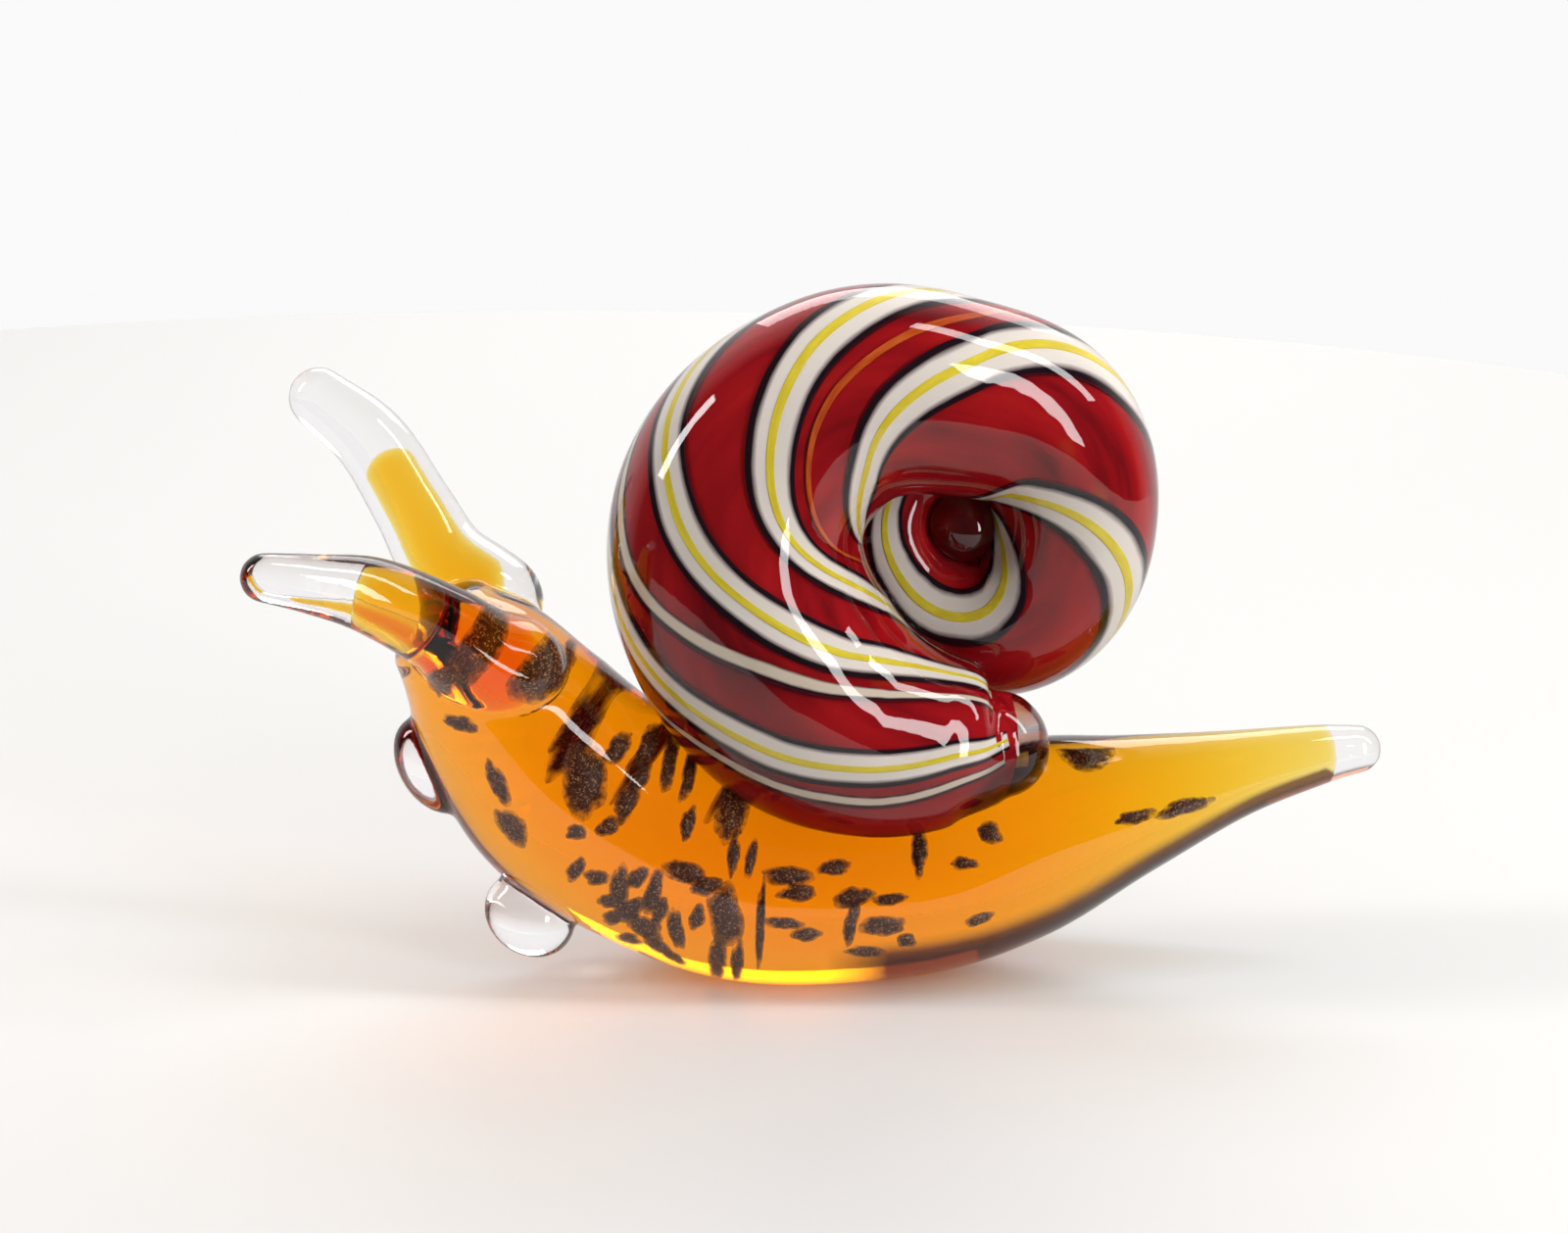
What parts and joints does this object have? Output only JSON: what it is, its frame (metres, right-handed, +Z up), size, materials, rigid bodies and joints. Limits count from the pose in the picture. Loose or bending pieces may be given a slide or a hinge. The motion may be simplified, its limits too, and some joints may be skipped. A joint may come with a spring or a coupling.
{
  "type": "snail figurine",
  "caption": "Solid glass snail with an amber body cased in clear glass, two drawn-out horns and a coiled red shell with twisted white and yellow canes",
  "frame": {"origin": "middle of the flat foot ground under the belly, on the surface it stands on", "axes": "+X towards the tail, the head towards -X, the shell's open pit faces -Y, +Z up"},
  "size_m": [0.2165, 0.0803, 0.1365],
  "materials": {
    "clear_glass": "clear, glossy, fire-polished",
    "amber_glass": "transparent amber, glossy",
    "red_glass": "deep red, nearly opaque",
    "white_glass": "opaque white cane with black edges",
    "yellow_glass": "opaque yellow thread",
    "orange_glass": "orange thread",
    "aventurine": "brown glass full of copper glitter"
  },
  "bodies": {
    "root": {"body_casing": "clear_glass", "body_core": "amber_glass", "cane_1": "white_glass", "cane_2": "white_glass", "cane_3": "white_glass", "cane_4": "white_glass", "chest_drop": "clear_glass", "chin_drop": "clear_glass", "far_flecks": "aventurine", "far_horn": "clear_glass", "far_horn_core": "amber_glass", "near_flecks": "aventurine", "near_horn": "clear_glass", "near_horn_core": "amber_glass", "orange_thread": "orange_glass", "shell_casing": "clear_glass", "shell_core": "red_glass", "shell_lip": "clear_glass", "shell_tip": "red_glass", "thin_cane_1": "white_glass", "thin_cane_2": "white_glass", "yellow_thread_1": "yellow_glass", "yellow_thread_2": "yellow_glass", "yellow_thread_3": "yellow_glass", "yellow_thread_4": "yellow_glass"}
  },
  "joints": []
}
